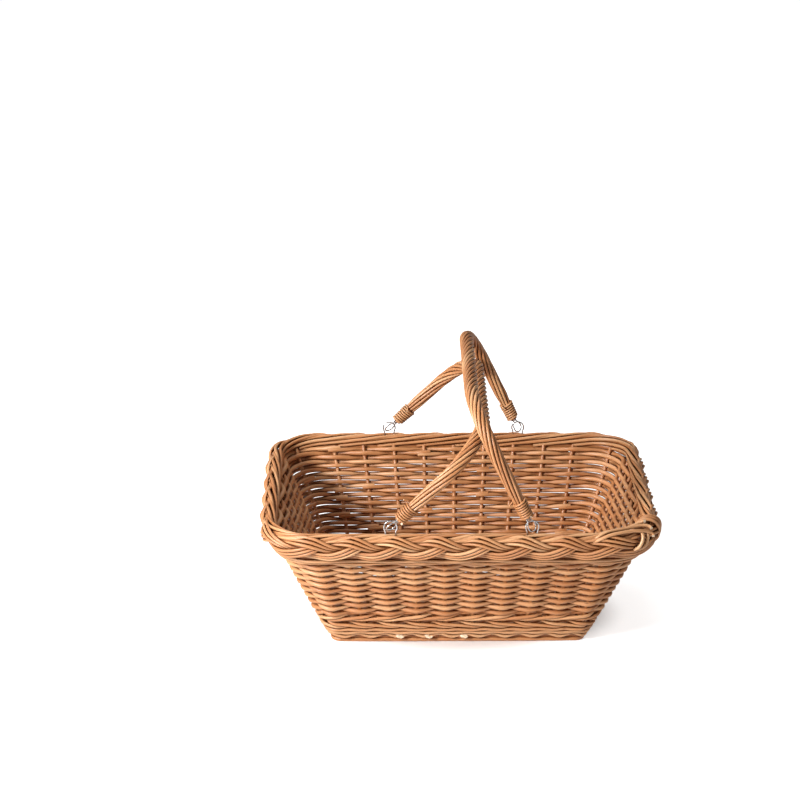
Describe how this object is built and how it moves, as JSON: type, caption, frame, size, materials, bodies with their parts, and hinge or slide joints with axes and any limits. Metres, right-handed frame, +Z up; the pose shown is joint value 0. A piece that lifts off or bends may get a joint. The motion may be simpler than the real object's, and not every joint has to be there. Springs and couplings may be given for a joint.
{
  "type": "wicker display basket",
  "caption": "Rectangular buff willow basket with splayed woven walls, a plaited rim and a pair of twisted swing handles hung on wire staples.",
  "frame": {"origin": "middle of the underside, at the centre of the whole part's box in plan", "axes": "+X along the basket's length to the right, +Y to the back, +Z up; the front long side faces -Y"},
  "size_m": [0.4394, 0.3224, 0.3086],
  "materials": {
    "stake_willow": "satin, darker buff willow rods",
    "weaver_willow": "satin buff willow rods",
    "buff_willow": "satin, pale buff willow rods",
    "wire": "bright drawn wire"
  },
  "bodies": {
    "basket": {"stake_01": "stake_willow", "stake_02": "stake_willow", "stake_03": "stake_willow", "stake_04": "stake_willow", "stake_05": "stake_willow", "stake_06": "stake_willow", "stake_07": "stake_willow", "stake_08": "stake_willow", "stake_09": "stake_willow", "stake_10": "stake_willow", "stake_11": "stake_willow", "stake_12": "stake_willow", "stake_13": "stake_willow", "stake_14": "stake_willow", "stake_15": "stake_willow", "stake_16": "stake_willow", "stake_17": "stake_willow", "stake_18": "stake_willow", "stake_19": "stake_willow", "stake_20": "stake_willow", "stake_21": "stake_willow", "stake_22": "stake_willow", "stake_23": "stake_willow", "stake_24": "stake_willow", "stake_25": "stake_willow", "stake_26": "stake_willow", "stake_27": "stake_willow", "stake_28": "stake_willow", "stake_29": "stake_willow", "stake_30": "stake_willow", "stake_31": "stake_willow", "stake_32": "stake_willow", "stake_33": "stake_willow", "base_stick_1": "stake_willow", "base_stick_2": "stake_willow", "base_stick_3": "stake_willow", "base_stick_4": "stake_willow", "base_stick_5": "stake_willow", "base_stick_6": "stake_willow", "base_stick_7": "stake_willow", "base_stick_8": "stake_willow", "base_stick_9": "stake_willow", "base_weave": "stake_willow", "bottom_wale": "weaver_willow", "side_weave": "weaver_willow", "border": "buff_willow", "staple_front_left": "wire", "staple_front_right": "wire", "staple_back_left": "wire", "staple_back_right": "wire"},
    "left_handle": {"left_grip": "buff_willow", "left_front_binding": "weaver_willow", "left_back_binding": "weaver_willow", "left_front_eye": "wire", "left_back_eye": "wire"},
    "right_handle": {"right_grip": "buff_willow", "right_front_binding": "weaver_willow", "right_back_binding": "weaver_willow", "right_front_eye": "wire", "right_back_eye": "wire"}
  },
  "joints": [
    {"name": "left_handle_hinge", "type": "hinge", "parent": "basket", "child": "left_handle", "pos_m": [-0.076, 0, 0.1694], "axis": [0, -1, 0], "range_deg": [0, 125]},
    {"name": "right_handle_hinge", "type": "hinge", "parent": "basket", "child": "right_handle", "pos_m": [0.076, 0, 0.1694], "axis": [0, 1, 0], "range_deg": [0, 105]}
  ]
}
